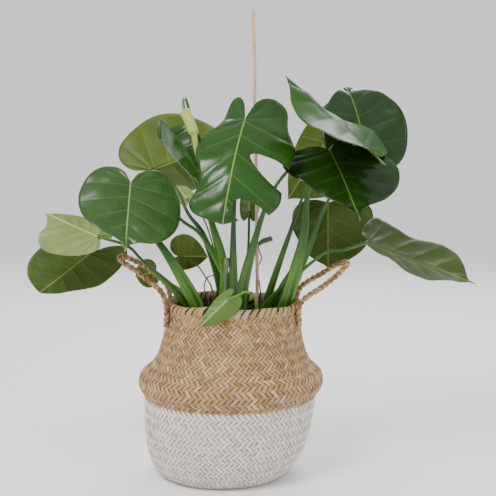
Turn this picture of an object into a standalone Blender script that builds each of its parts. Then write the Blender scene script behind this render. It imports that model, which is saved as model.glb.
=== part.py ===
"""Potted monstera in a woven belly basket, for Blender 4.5. Metres, +Z up.

The origin is the centre of the basket's flat base, on the surface it stands on. -Y is the front.
Every blade and every leaf stalk is its own solid. Blades are one smooth surface given a thickness:
rows run from the midrib out to the margin along the side veins, so a split between two veins is a
gap between two rows.
"""

import math

import bmesh
import bpy
from mathutils import Matrix, Vector

MM = 0.001
GAP = 0.3 * MM  # between pieces that touch

# ---- driving dimensions ---------------------------------------------------------------------

BASKET_WALL = 6.0 * MM
RIM_HEIGHT = 297 * MM
RIM_RADIUS = 114 * MM  # outside of the wall at its top
RIM_LEAN = 18 * MM  # how far the soft basket leans to +X at its rim
BASKET_STEPS = 40
# Outside of the basket: (height, radius). The top half is pushed down into the lower half, which
# makes the rounded fold at 165 mm.
BASKET_PROFILE = [
    (0, 96), (4, 107), (16, 121), (34, 131), (60, 139), (90, 144), (118, 147), (138, 148),
    (146, 151), (156, 157), (166, 158.5), (178, 156), (187, 147), (194, 139), (206, 131),
    (222, 125), (245, 119), (270, 115), (297, 114),
]

POT_X = 12 * MM
POT_HEIGHT = 200 * MM
POT_BASE_RADIUS = 80 * MM
POT_TOP_RADIUS = 96 * MM
POT_WALL = 2.0 * MM
POT_LIP = 4.0 * MM
SOIL_TOP = 190 * MM

ROPE_RADIUS = 5.5 * MM
CANE_RADIUS = 3.0 * MM
CANE_TOP = 805 * MM

BLADE_THICKNESS = 1.2 * MM
BLADE_ROWS = 12
BLADE_HALF_COLUMNS = 3
STALK_SIDES = 2  # bevel resolution: 8 sides
STALK_STEP = 28 * MM

# Half outlines of a blade of length 1, from the notch round to the tip: (along, across).
HEART = [
    (0, 0), (-.07, .025), (-.19, .085), (-.27, .22), (-.25, .38), (-.13, .50), (.05, .565),
    (.25, .575), (.45, .52), (.63, .41), (.79, .26), (.90, .12), (.955, .045), (1, 0),
]
ROUND = [
    (0, 0), (-.07, .02), (-.18, .09), (-.235, .22), (-.20, .37), (-.08, .51), (.10, .595),
    (.30, .62), (.50, .585), (.68, .48), (.82, .32), (.90, .16), (.945, .06), (1, 0),
]
FIRST_VEIN_ROW = .42  # rows before this fan out from the stalk's joint

# ---- the leaves -----------------------------------------------------------------------------
# base: where the stalk meets the blade. tip: the point. face: the way the upper side looks. mm.
# arch: degrees the midrib turns through between base and tip.
# edges: the half outlines (left, right), as seen from above with the tip ahead.
# wide: how much wider each half is than its outline. lobes: the same for the base lobes' length.
# fold: degrees each half is raised from the midrib, at the base and at the tip.
# curl: degrees each half goes on turning upwards out to its margin.
# lift: degrees the base lobes turn upwards.
# splits: (side, first row, its edges as row places): gaps that run in from the margin. twist:
# degrees the blade turns about its midrib.

LEAVES = {
    "back_left": dict(
        base=(-128, 100, 527), tip=(14, 56, 583), face=(.12, .95, -.2), arch=8,
        edges=(HEART, HEART), wide=(.9, 1), lobes=1.25, fold=((60, 45), (2, 2)), curl=(0, -6)),
    "heart_left": dict(
        base=(-152, -55, 510), tip=(-152, -150, 405), face=(.17, -.72, .67), arch=-8,
        edges=([(0, 0), (-.05, .022), (-.16, .09), (-.22, .22), (-.19, .36), (-.08, .48),
                (.1, .56), (.3, .61), (.5, .60), (.68, .52), (.81, .40), (.86, .27), (.87, .14),
                (.9, .05), (1, 0)],
               [(0, 0), (-.05, .022), (-.16, .085), (-.22, .22), (-.18, .36), (-.07, .48),
                (.08, .56), (.26, .59), (.44, .55), (.6, .45), (.73, .30), (.8, .16), (.87, .06),
                (1, 0)]),
        fold=((4, 4), (4, 4)), curl=(-12, -14)),
    "low_left": dict(
        base=(-238, 60, 380), tip=(-318, 0, 317), face=(.2, .85, .1), arch=8,
        edges=([(0, 0), (-.1, .03), (-.3, .13), (-.35, .3), (-.2, .42), (.1, .5), (.4, .53),
                (.65, .52), (.82, .46), (.95, .32), (1, .15), (1, 0)],
               [(0, 0), (-.08, .018), (-.3, .1), (-.48, .24), (-.44, .37), (-.25, .45),
                (-.05, .48), (.19, .47), (.4, .38), (.6, .27), (.76, .19), (.9, .09), (1, 0)]),
        fold=((6, 6), (6, 6)), curl=(6, 6)),
    "pale_left": dict(
        base=(-215, 0, 415), tip=(-302, -20, 458), face=(0, .95, -.3), arch=10,
        edges=([(0, 0), (-.14, .03), (-.22, .09), (-.18, .17), (0, .23), (.25, .25), (.5, .19),
                (.75, .10), (.9, .03), (1, 0)],
               [(0, 0), (-.06, .06), (-.10, .17), (0, .31), (.2, .45), (.45, .55), (.70, .60),
                (.86, .55), (.93, .43), (.93, .31), (.89, .20), (.93, .08), (1, 0)]),
        fold=((10, 10), (5, 5)), curl=(0, 0)),
    "young": dict(
        base=(-100, -50, 580), tip=(-21, -110, 503), face=(.7, 0, .7), arch=-16,
        edges=(HEART, HEART), wide=(.8, .7), lobes=.55, fold=((60, 60), (30, 30)), curl=(20, 20)),
    "split_centre": dict(
        base=(39, -70, 616), tip=(4, -170, 450), face=(-.05, -.85, .5), arch=50,
        edges=([(0, 0), (-.07, .014), (-.2, .05), (-.27, .12), (-.28, .22), (-.2, .32),
                (-.02, .36), (.14, .43), (.26, .46), (.42, .44), (.56, .41), (.68, .42),
                (.78, .41), (.88, .33), (.92, .2), (.96, .1), (1, 0)],
               [(0, 0), (-.08, .015), (-.2, .045), (-.25, .1), (-.2, .155), (-.06, .175),
                (.06, .20), (.18, .27), (.3, .32), (.42, .32), (.56, .27), (.68, .25),
                (.78, .28), (.87, .3), (.94, .25), (.975, .13), (1, 0)]),
        rows=18, splits=[(0, 11, .62, .65), (0, 15, .85, .9)],
        lift=40, fold=((-6, -6), (-6, -6)), curl=(-16, -16)),
    "folded_right": dict(
        base=(235, -100, 572), tip=(105, -100, 686), face=(.35, -.5, .7), arch=4,
        edges=(HEART, HEART), wide=(1.05, .9), lobes=.8, fold=((30, -14), (-12, -50)),
        curl=(0, 0)),
    "upright_right": dict(
        base=(244, 0, 570), tip=(218, 80, 676), face=(0, -.8, .5), arch=60,
        edges=(HEART, HEART), wide=(.85, .96), lobes=1.1, fold=((4, 4), (4, 4)), curl=(0, 0)),
    "broad_right": dict(
        base=(180, -60, 565), tip=(222, -150, 454), face=(.1, -.8, .6), arch=16,
        edges=([(0, 0), (-.05, .03), (-.16, .10), (-.2, .25), (-.12, .42), (.05, .55),
                (.25, .63), (.42, .66), (.56, .63), (.68, .54), (.78, .39), (.82, .24),
                (.87, .08), (1, 0)],
               [(0, 0), (-.05, .03), (-.16, .12), (-.2, .28), (-.13, .45), (-.03, .53),
                (.1, .58), (.24, .54), (.37, .46), (.5, .36), (.63, .26), (.76, .14), (.86, .05),
                (1, 0)]),
        lobes=.55, fold=((1, 1), (1, 1)), curl=(-9, -9)),
    "back_right": dict(
        base=(200, 100, 603), tip=(115, 80, 475), face=(.1, .9, .1), arch=10,
        edges=(HEART, HEART), wide=(.5, 1.1), fold=((6, 6), (6, 6)), curl=(0, 0)),
    "low_right": dict(
        base=(191, 120, 466), tip=(189, 80, 351), face=(0, .95, -.2), arch=14,
        edges=([(0, 0), (-.03, .07), (-.05, .22), (0, .42), (.12, .52), (.28, .54), (.42, .52),
                (.58, .44), (.76, .33), (.87, .2), (.94, .08), (1, 0)],
               [(0, 0), (-.03, .07), (-.05, .25), (-.03, .48), (.04, .64), (.2, .69), (.42, .66),
                (.64, .57), (.79, .42), (.89, .25), (.95, .09), (1, 0)]),
        fold=((4, 4), (4, 4)), curl=(0, 0)),
    "far_right": dict(
        base=(252, 0, 406), tip=(436, -20, 335), face=(.02, 1, .08), arch=6,
        edges=([(0, 0), (-.02, .03), (.02, .08), (.12, .16), (.25, .22), (.39, .28), (.51, .31),
                (.62, .31), (.74, .25), (.86, .12), (.94, .03), (1, 0)],
               [(0, 0), (-.06, .05), (-.07, .2), (0, .36), (.1, .36), (.2, .32), (.33, .30),
                (.5, .34), (.64, .35), (.76, .31), (.86, .17), (.93, .04), (1, 0)]),
        fold=((60, 60), (60, 60)), curl=(0, 0)),
    "front_small": dict(
        base=(12, -132, 326), tip=(-33, -146, 284), face=(.2, .9, .2), arch=10,
        edges=(HEART, HEART), wide=(.4, .75), fold=((20, 20), (20, 20)), curl=(0, 0)),
    "mid_left": dict(
        base=(-82, 80, 372), tip=(-28, 80, 371), face=(0, .9, .2), arch=10,
        edges=(HEART, HEART), wide=(.9, 1.3), fold=((10, 10), (10, 10)), curl=(0, 0)),
    "small_left": dict(
        base=(-129, 100, 340), tip=(-162, 95, 333), face=(0, .9, .1), arch=6,
        edges=(ROUND, ROUND), wide=(1.3, 1.3), fold=((8, 8), (8, 8)), curl=(0, 0)),
    "centre_back": dict(
        base=(46, 60, 454), tip=(48, 80, 512), face=(0, .9, -.3), arch=10,
        edges=(HEART, HEART), wide=(.5, .5), fold=((10, 10), (10, 10)), curl=(0, 0)),
    "small_back": dict(
        base=(-66, 80, 476), tip=(-86, 85, 500), face=(0, .9, .2), arch=8,
        edges=(HEART, HEART), wide=(.9, .9), fold=((10, 10), (10, 10)), curl=(0, 0)),
}

# ---- the leaf stalks: foot on the soil, bends, and the joint with the blade; mm ---------------
# radius: (at the sheath near the foot, at the blade)

STALKS = {
    "pale_left": dict(route=[(-45, 0), (-64, -20, 302), (-136, -20, 375), (-163, -20, 401)],
                      radius=(6, 2.3)),
    "low_left": dict(route=[(-30, -25), (-44, -45, 302), (-109, -45, 412), (-160, -5, 440),
                            (-212, 40, 415)], radius=(8, 2.4)),
    "heart_left": dict(route=[(4, -20), (20, -32, 309), (-29, -30, 412), (-69, -28, 446),
                              (-106, -30, 483)], radius=(6.5, 2.4)),
    "back_left": dict(route=[(-14, 2), (0, -5, 309), (-30, -5, 412), (-60, 10, 455),
                             (-85, 45, 500)], radius=(6, 2.4)),
    "young": dict(route=[(14, 4), (10, -12, 309), (-20, -18, 440), (-45, -12, 505),
                         (-75, -22, 560)], radius=(5, 2)),
    "new_leaf": dict(route=[(-10, -42), (4, -50, 360), (-20, -38, 455), (-42, -12, 560),
                            (-54, -10, 622), (-60, -38, 650), (-63, -60, 645)],
                     radius=(5, 2)),
    "split_centre": dict(route=[(24, -48), (20, -55, 309), (20, -60, 448), (30, -52, 560)],
                         radius=(5.5, 2.4)),
    "centre_back": dict(route=[(34, 24), (44, 22, 381)], radius=(4.5, 2)),
    "broad_right": dict(route=[(40, -26), (32, -30, 309), (64, -30, 440), (93, -45, 508),
                               (140, -40, 555)], radius=(7, 2.6)),
    "folded_right": dict(route=[(82, -30), (106, -22, 292), (138, -22, 411), (146, -22, 490),
                                (170, -26, 548), (200, -28, 582), (228, -40, 594), (238, -68, 579)],
                         radius=(8, 2.4)),
    "upright_right": dict(route=[(88, 0), (112, 10, 300), (156, 18, 408), (178, 15, 468)],
                          radius=(7, 2.4)),
    "back_right": dict(route=[(62, 42), (76, 30, 293), (120, 45, 423), (150, 75, 500)],
                       radius=(4.5, 2)),
    "low_right": dict(route=[(80, 32), (100, 50, 308), (160, 98, 400)], radius=(6, 2.2)),
    "far_right": dict(route=[(62, -10), (74, -4, 291), (167, 0, 380), (210, 0, 392)],
                      radius=(5.5, 2.2)),
    "front_small": dict(route=[(56, -48), (56, -88, 318), (42, -126, 337), (28, -140, 334)],
                        radius=(2, 1.5)),
    "mid_left": dict(route=[(-20, 26), (-18, 32, 308), (-33, 62, 338), (-56, 78, 364)],
                     radius=(2.4, 1.3)),
    "small_left": dict(route=[(-42, 26), (-66, 48, 302), (-100, 80, 326)], radius=(2.4, 1.3)),
    "small_back": dict(route=[(4, 24), (0, 30, 309), (-30, 60, 430)], radius=(2.4, 1.2)),
}

# Stalks that carry no blade: (route, radius at each point), mm.
BARE_STALKS = {
    "cut_stalk_tall": ([(76, 50, 190.4), (72, 46, 250), (64, 40, 330), (58, 38, 352), (68, 40, 372),
                        (62, 40, 392), (68, 40, 402), (86, 36, 409)],
                       [3, 2, 1.2, 1.1, 1.2, 1.6, 4.5, 5]),
    "cut_stalk_short": ([(-2, -60, 190.4), (4, -66, 260), (6, -66, 350), (8, -64, 372),
                         (9, -64, 386)], [3, 2, 2, 4.5, 4]),
    "aerial_root": ([(-16, 48, 190.4), (-26, 46, 290), (-34, 46, 318), (-28, 46, 338),
                     (-12, 46, 340), (-6, 46, 322), (-14, 46, 308)], [1.2] * 7),
}

# ---- shared tools -----------------------------------------------------------------------------


def clear_scene():
    for old in list(bpy.data.objects):
        bpy.data.objects.remove(old)


def material(name, colour, roughness):
    made = bpy.data.materials.new(name)
    made.use_nodes = True
    shader = made.node_tree.nodes["Principled BSDF"]
    shader.inputs["Base Color"].default_value = (*colour, 1)
    shader.inputs["Roughness"].default_value = roughness
    shader.inputs["Metallic"].default_value = 0
    return made


def place(name, mesh, finish):
    made = bpy.data.objects.new(name, mesh)
    bpy.context.scene.collection.objects.link(made)
    if not mesh.materials:
        mesh.materials.append(finish)
    return made


def mesh_from(name, bm, smooth=True):
    bmesh.ops.recalc_face_normals(bm, faces=bm.faces)
    mesh = bpy.data.meshes.new(name)
    bm.to_mesh(mesh)
    bm.free()
    if smooth:
        mesh.shade_smooth()
        mesh.set_sharp_from_angle(angle=math.radians(40))
    return mesh


def catmull_rom(a, b, c, d, t):
    """The point a share t of the way from b to c on a smooth curve through all four."""
    return .5 * (
        2 * b + (c - a) * t + (2 * a - 5 * b + 4 * c - d) * t**2
        + (3 * b - 3 * c + d - a) * t**3
    )


def curve_point(points, share):
    """The point a share of the way through a smooth curve that passes through the points."""
    last = len(points) - 1
    along = min(max(share, 0), 1) * last
    i = min(int(along), last - 1)
    before = points[i - 1] if i else 2 * points[0] - points[1]
    after = points[i + 2] if i + 2 <= last else 2 * points[last] - points[last - 1]
    return catmull_rom(before, points[i], points[i + 1], after, along - i)


def even_route(points, step):
    """Points about a step apart along the smooth curve through the points, ends included."""
    fine = [curve_point(points, i / 200) for i in range(201)]
    run = [0]
    for a, b in zip(fine, fine[1:]):
        run.append(run[-1] + (b - a).length)
    count = max(4, round(run[-1] / step))
    route = []
    for i in range(count + 1):
        target = run[-1] * i / count
        k = next((n for n in range(200) if run[n + 1] >= target), 199)
        share = (target - run[k]) / max(run[k + 1] - run[k], 1e-9)
        route.append(fine[k].lerp(fine[k + 1], share))
    return route


def tube(name, route, radii, finish, sides=STALK_SIDES):
    curve = bpy.data.curves.new(name, "CURVE")
    curve.dimensions = "3D"
    curve.bevel_depth = 1
    curve.bevel_resolution = sides
    curve.use_fill_caps = True
    spline = curve.splines.new("POLY")
    spline.points.add(len(route) - 1)
    for point, place_, radius in zip(spline.points, route, radii):
        point.co = (*place_, 1)
        point.radius = radius
    curve.materials.append(finish)
    made = bpy.data.objects.new(name, curve)
    bpy.context.scene.collection.objects.link(made)
    return made


def spin_profile(name, profile, steps, finish, centre=lambda z: 0):
    """A closed solid turned about Z from (radius, height) points that start and end on the axis
    or form a closed loop. centre(z) moves each level along X."""
    bm = bmesh.new()
    points = [bm.verts.new((radius, 0, height)) for radius, height in profile]
    closed = profile[0][0] > 0
    edges = [bm.edges.new(pair) for pair in zip(points, points[1:])]
    if closed:
        edges.append(bm.edges.new((points[-1], points[0])))
    bmesh.ops.spin(
        bm, geom=points + edges, cent=(0, 0, 0), axis=(0, 0, 1), angle=2 * math.pi,
        steps=steps, use_merge=True,
    )
    bmesh.ops.remove_doubles(bm, verts=bm.verts, dist=1e-6)
    for v in bm.verts:
        v.co.x += centre(v.co.z)
    return place(name, mesh_from(name, bm), finish)


# ---- the basket -------------------------------------------------------------------------------


def basket_radius(z):
    heights = [h * MM for h, _ in BASKET_PROFILE]
    radii = [r * MM for _, r in BASKET_PROFILE]
    if z <= heights[0]:
        return radii[0]
    for i in range(len(heights) - 1):
        if z <= heights[i + 1]:
            share = (z - heights[i]) / (heights[i + 1] - heights[i])
            return radii[i] + share * (radii[i + 1] - radii[i])
    return radii[-1]


def basket_centre(z):
    """The basket's middle at a height: it leans to +X, most of it below the fold."""
    share = min(max(z / RIM_HEIGHT, 0), 1)
    return RIM_LEAN * (1 - (1 - share) ** 2)


def make_basket(finish):
    outside = [(r * MM, z * MM) for z, r in BASKET_PROFILE]
    inside = []
    for i in range(len(outside) - 1, 0, -1):
        before = Vector(outside[i - 1])
        after = Vector(outside[min(i + 1, len(outside) - 1)])
        along = (after - before).normalized()
        inward = Vector((-along.y, along.x))
        radius, height = Vector(outside[i]) + inward * BASKET_WALL
        inside.append((radius, max(height, BASKET_WALL)))
    inside[0] = (RIM_RADIUS - BASKET_WALL, RIM_HEIGHT)
    inside = [point for point in inside if point[1] > BASKET_WALL + .5 * MM]
    profile = [(0, 0), *outside, *inside, (outside[0][0] - 2 * MM, BASKET_WALL), (0, BASKET_WALL)]
    return spin_profile("woven_basket", profile, BASKET_STEPS, finish, basket_centre)


def make_rim(finish):
    """The plaited border sewn along the top edge, a flattened ring that rests on the wall."""
    middle = RIM_RADIUS - BASKET_WALL / 2
    half_width = BASKET_WALL / 2 + 1.2 * MM
    height = 9 * MM
    foot = RIM_HEIGHT + GAP
    profile = [
        (middle + half_width, foot + 1.5 * MM), (middle + half_width, foot + height - 3 * MM),
        (middle + half_width * .5, foot + height), (middle - half_width * .5, foot + height),
        (middle - half_width, foot + height - 3 * MM), (middle - half_width, foot + 1.5 * MM),
        (middle - half_width * .6, foot), (middle + half_width * .6, foot),
    ]
    return spin_profile("plaited_rim", profile, BASKET_STEPS, finish, basket_centre)


HANDLE_SPREAD = 46 * MM  # from the middle to each leg, along the rim
HANDLES = {
    "rope_handle_left": dict(side=-1, rise=(30, 62, 79, 83), reach=(9, 46, 76, 84), near_drop=2),
    "rope_handle_right": dict(side=1, rise=(24, 48, 68, 73), reach=(8, 44, 74, 86), near_drop=9),
}


def handle_route(side, rise, reach, near_drop):
    """Up the outside of the wall, out over the side, round the end and back to the other leg.
    rise and reach are measured from the rim, in mm, along one leg up to the loop's end."""
    clearance = ROPE_RADIUS + .8 * MM + 1.2 * MM
    top = RIM_HEIGHT
    middle = basket_centre(top)
    leg_out = math.sqrt(RIM_RADIUS**2 - HANDLE_SPREAD**2) + clearance

    def leg(direction):
        drop = near_drop * MM if direction < 0 else 0
        spread = direction * HANDLE_SPREAD
        points = [Vector((leg_out + 1.5 * MM, spread * 1.03, top - 30 * MM)),
                  Vector((leg_out + .5 * MM, spread * 1.03, top - 2 * MM))]
        shares = (1, .94, .62, 0)
        for up, out, share in zip(rise, reach, shares):
            points.append(Vector((leg_out + out * MM, spread * share,
                                  top + up * MM - drop * share)))
        return points

    near, far = leg(-1), leg(1)
    points = near + far[-2::-1]
    return [Vector((middle + side * p.x, p.y, p.z)) for p in points]


def make_handle(name, shape, finish):
    route = even_route(handle_route(**shape), 11 * MM)
    return tube(name, route, [ROPE_RADIUS] * len(route), finish)


# ---- pot, soil and cane -----------------------------------------------------------------------


def make_pot(finish):
    foot = BASKET_WALL + GAP
    top = foot + POT_HEIGHT
    lip = 12 * MM
    profile = [
        (0, foot), (POT_BASE_RADIUS, foot), (POT_TOP_RADIUS - POT_LIP, top - lip),
        (POT_TOP_RADIUS, top - lip), (POT_TOP_RADIUS, top), (POT_TOP_RADIUS - POT_LIP, top),
        (POT_TOP_RADIUS - POT_LIP - POT_WALL, top - lip),
        (POT_BASE_RADIUS - POT_WALL, foot + POT_WALL), (0, foot + POT_WALL),
    ]
    return spin_profile("grow_pot", profile, 40, finish, lambda z: POT_X)


def pot_inside(z):
    foot = BASKET_WALL + GAP
    low, high = foot + POT_WALL, foot + POT_HEIGHT - 12 * MM
    share = (z - low) / (high - low)
    base = POT_BASE_RADIUS - POT_WALL
    return base + share * (POT_TOP_RADIUS - POT_LIP - POT_WALL - base)


def make_soil(finish):
    low = BASKET_WALL + GAP + POT_WALL + GAP
    edge = SOIL_TOP - 5 * MM
    profile = [
        (0, low), (pot_inside(low) - .8 * MM, low), (pot_inside(edge) - .8 * MM, edge),
        (60 * MM, SOIL_TOP - 1 * MM), (0, SOIL_TOP - 1 * MM),
    ]
    soil = spin_profile("potting_soil", profile, 40, finish, lambda z: POT_X)
    cutter_mesh = bpy.data.meshes.new("cane_socket")
    bm = bmesh.new()
    bmesh.ops.create_cone(bm, cap_ends=True, segments=10, radius1=CANE_RADIUS + GAP,
                          radius2=CANE_RADIUS + GAP, depth=CANE_FOOT_DEPTH * 2)
    bm.to_mesh(cutter_mesh)
    bm.free()
    cutter = bpy.data.objects.new("cane_socket", cutter_mesh)
    cutter.location = (CANE_FOOT.x, CANE_FOOT.y, SOIL_TOP)
    cutter.hide_render = True
    cutter.display_type = "WIRE"
    bpy.context.scene.collection.objects.link(cutter)
    cut = soil.modifiers.new("cane socket", "BOOLEAN")
    cut.operation = "DIFFERENCE"
    cut.object = cutter
    return soil


CANE_FOOT = Vector((60, 18, 0)) * MM
CANE_FOOT_DEPTH = 60 * MM
CANE_HEAD = Vector((53, 30, 0)) * MM


def make_cane(finish):
    """A thin split-bamboo cane pushed into the soil, with a slight bow."""
    foot = SOIL_TOP - CANE_FOOT_DEPTH + GAP
    bow = 2 * MM
    route = []
    levels = [foot, SOIL_TOP + 4 * MM, .30, .40, .50, .60, .70, CANE_TOP]
    for z in levels:
        share = max(0, (z - SOIL_TOP) / (CANE_TOP - SOIL_TOP))
        spot = CANE_FOOT.lerp(CANE_HEAD, share)
        spot.x += bow * math.sin(math.pi * share)
        route.append(Vector((spot.x, spot.y, z)))
    return tube("bamboo_cane", route, [CANE_RADIUS] * len(route), finish)


# ---- leaves -----------------------------------------------------------------------------------


def leaf_frame(leaf):
    base, tip = Vector(leaf["base"]) * MM, Vector(leaf["tip"]) * MM
    chord = tip - base
    ahead = chord.normalized()
    face = Vector(leaf["face"])
    up = (face - ahead * face.dot(ahead)).normalized()
    right = ahead.cross(up)
    half_turn = math.radians(leaf["arch"]) / 2
    length = chord.length * (half_turn / math.sin(half_turn) if abs(half_turn) > 1e-4 else 1)
    return base, ahead, up, right, half_turn, length


def arc_step(start, turn, distance):
    """(along, up) after a distance on an arc that sets off at an angle and turns per metre."""
    if abs(turn) < 1e-6:
        return distance * math.cos(start), distance * math.sin(start)
    end = start + turn * distance
    return (math.sin(end) - math.sin(start)) / turn, (math.cos(start) - math.cos(end)) / turn


def blade_point(leaf, x, y):
    """The point of the bent blade at x along the midrib and y across the flat blade."""
    base, ahead, up, right, half_turn, length = leaf_frame(leaf)
    turn = -2 * half_turn / length
    if x < 0:
        turn += math.radians(leaf.get("lift", 0)) / (.27 * length)
    along, rise = arc_step(half_turn, turn, x)
    angle = half_turn + turn * x
    spine = base + ahead * along + up * rise
    local_up = up * math.cos(angle) - ahead * math.sin(angle)
    reach = min(max(x / length, 0), 1)
    twist = math.radians(leaf.get("twist", 0)) * reach
    across = right * math.cos(twist) + local_up * math.sin(twist)
    local_up = local_up * math.cos(twist) - right * math.sin(twist)
    side = 0 if y < 0 else 1
    start, end = leaf["fold"][side]
    fold = math.radians(start + (end - start) * reach)
    curl = math.radians(leaf["curl"][side]) / (.55 * length)
    out, lift = arc_step(fold, curl, abs(y))
    return spine + across * math.copysign(out, y) + local_up * lift


def flat_point(leaf, u, v):
    """(x, y) on the flat blade of row u (0 at the notch, 1 at the tip) and column v (-1 to 1)."""
    length = leaf_frame(leaf)[5]
    side = 0 if v < 0 else 1
    lobes, wide = leaf.get("lobes", 1), leaf.get("wide", (1, 1))[side]
    outline = [Vector((x * (lobes if x < 0 else 1), y * wide)) * length
               for x, y in leaf["edges"][side]]
    edge = curve_point(outline, u)
    ahead = max(0, (u - FIRST_VEIN_ROW) / (1 - FIRST_VEIN_ROW))
    root = length * ahead ** 1.1
    share = abs(v)
    return root + (edge.x - root) * share, math.copysign(max(edge.y, 0) * share, v)


def blade_thickness(leaf):
    """Small leaves are thinner."""
    return min(BLADE_THICKNESS, max(.6 * MM, leaf_frame(leaf)[5] * .012))


def row_places(leaf):
    """Where the rows meet the margin: even, with the two rows beside a split moved to its edges."""
    rows = leaf.get("rows", BLADE_ROWS)
    places = [i / rows for i in range(rows + 1)]
    for _, row, near, far in leaf.get("splits", []):
        places[row], places[row + 1] = near, far
    return places


def make_blade(name, leaf, finish):
    places, columns = row_places(leaf), BLADE_HALF_COLUMNS
    rows = len(places) - 1
    bm = bmesh.new()
    bmesh.ops.create_grid(bm, x_segments=rows, y_segments=2 * columns, size=1)
    gaps = []
    for face in bm.faces:
        middle = face.calc_center_median()
        row, side = int((middle.x + 1) / 2 * rows), 0 if middle.y < 0 else 1
        if abs(middle.y) * columns > 1 and any(
                side == cut_side and row == cut_row
                for cut_side, cut_row, *_ in leaf.get("splits", [])):
            gaps.append(face)
    bmesh.ops.delete(bm, geom=gaps, context="FACES")
    for v in bm.verts:
        u, across = places[round((v.co.x + 1) / 2 * rows)], v.co.y
        v.co = blade_point(leaf, *flat_point(leaf, u, across))
    bmesh.ops.remove_doubles(bm, verts=bm.verts, dist=.05 * MM)
    mesh = bpy.data.meshes.new(name)
    bm.to_mesh(mesh)
    bm.free()
    mesh.shade_smooth()
    made = place(name, mesh, finish)
    skin = made.modifiers.new("thickness", "SOLIDIFY")
    skin.thickness = blade_thickness(leaf)
    skin.offset = 0
    return made


NEW_LEAF = [(-60, -70, 628), (-53, -78, 614), (-45, -86, 592), (-40, -92, 564), (-35, -96, 543),
            (-30, -100, 526)]


def make_new_leaf(finish):
    """The rolled new leaf: a tube that tapers to a point and hangs from its stalk."""
    route = [Vector(p) * MM for p in NEW_LEAF]
    radii = [r * MM for r in (7, 9, 9.5, 8, 5, 1)]
    return tube("blade_new_rolled", route, radii, finish, sides=3)


def make_stalk(name, stalk, joint, finish):
    first = stalk["route"][0]
    ground = SOIL_TOP / MM + .4
    points = [Vector((*first, ground)) * MM, Vector((*first, ground + 24)) * MM]
    points += [Vector(p) * MM for p in stalk["route"][1:]] + [joint]
    route = even_route(points, STALK_STEP)
    foot, head = (r * MM for r in stalk["radius"])
    radii = [foot + (head - foot) * min(1, 1.5 * i / (len(route) - 1)) for i in range(len(route))]
    return tube(f"stalk_{name}", route, radii, finish)


def make_bare_stalk(name, points, radii, finish):
    points = [Vector(p) * MM for p in points]
    count = 4 * (len(points) - 1)
    route = [curve_point(points, i / count) for i in range(count + 1)]
    sizes = [curve_point([Vector((r, 0, 0)) for r in radii], i / count).x * MM
             for i in range(count + 1)]
    return tube(name, route, sizes, finish, sides=1)


def stalk_joint(name):
    """Where a stalk ends: just under its blade."""
    if name == "new_leaf":
        start, after = (Vector(p) * MM for p in NEW_LEAF[:2])
        return start + (start - after).normalized() * 1.2 * MM
    leaf = LEAVES[name]
    base, ahead, up, *_ = leaf_frame(leaf)
    return base - up * (blade_thickness(leaf) + STALKS[name]["radius"][1] * MM + .4 * MM)


def main():
    clear_scene()
    straw = material("seagrass", (.52, .36, .2), .8)
    rope = material("seagrass rope", (.42, .27, .14), .8)
    plastic = material("pot plastic", (.03, .03, .03), .5)
    earth = material("potting soil", (.035, .022, .015), .95)
    bamboo = material("bamboo", (.5, .3, .15), .6)
    green = material("leaf", (.03, .12, .02), .35)
    stalk_green = material("stalk", (.08, .2, .03), .4)

    make_basket(straw)
    make_rim(straw)
    for name, shape in HANDLES.items():
        make_handle(name, shape, rope)
    make_pot(plastic)
    make_soil(earth)
    make_cane(bamboo)
    for name, leaf in LEAVES.items():
        make_blade(f"blade_{name}", leaf, green)
    make_new_leaf(green)
    for name, stalk in STALKS.items():
        make_stalk(name, stalk, stalk_joint(name), stalk_green)
    for name, (points, radii) in BARE_STALKS.items():
        make_bare_stalk(name, points, radii, stalk_green)


main()
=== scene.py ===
"""Potted monstera in a woven belly basket: the finished look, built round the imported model.

Everything is in metres in the model's own frame: the origin is the centre of the basket's base,
+Z is up and -Y is the front.
"""

import math
import random

import bmesh
import bpy
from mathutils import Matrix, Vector, noise


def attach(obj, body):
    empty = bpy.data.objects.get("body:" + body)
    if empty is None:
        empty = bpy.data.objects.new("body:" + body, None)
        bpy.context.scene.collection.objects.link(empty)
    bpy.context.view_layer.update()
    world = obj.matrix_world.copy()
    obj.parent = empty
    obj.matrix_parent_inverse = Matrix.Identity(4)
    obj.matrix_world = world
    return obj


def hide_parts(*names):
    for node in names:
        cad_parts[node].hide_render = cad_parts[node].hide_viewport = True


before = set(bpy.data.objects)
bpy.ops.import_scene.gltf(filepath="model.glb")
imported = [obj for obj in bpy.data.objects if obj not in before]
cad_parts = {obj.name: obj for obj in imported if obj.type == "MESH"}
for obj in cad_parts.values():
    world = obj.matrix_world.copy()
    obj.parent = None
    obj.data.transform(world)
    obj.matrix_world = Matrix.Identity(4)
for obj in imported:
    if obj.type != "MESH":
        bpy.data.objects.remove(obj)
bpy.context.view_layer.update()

MM = 0.001
TAU = 2 * math.pi

# ---- driving dimensions, the same as the solids' ----------------------------------------------

BASKET_WALL = 6.0 * MM
RIM_HEIGHT = 297 * MM
RIM_RADIUS = 114 * MM
RIM_LEAN = 18 * MM
CREASE_HEIGHT = 141 * MM
BASKET_PROFILE = [
    (0, 96), (4, 107), (16, 121), (34, 131), (60, 139), (90, 144), (118, 147), (138, 148),
    (146, 151), (156, 157), (166, 158.5), (178, 156), (187, 147), (194, 139), (206, 131),
    (222, 125), (245, 119), (270, 115), (297, 114),
]
POT_X = 12 * MM
SOIL_TOP = 190 * MM
ROPE_RADIUS = 5.5 * MM
CANE_TOP = 805 * MM

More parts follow.
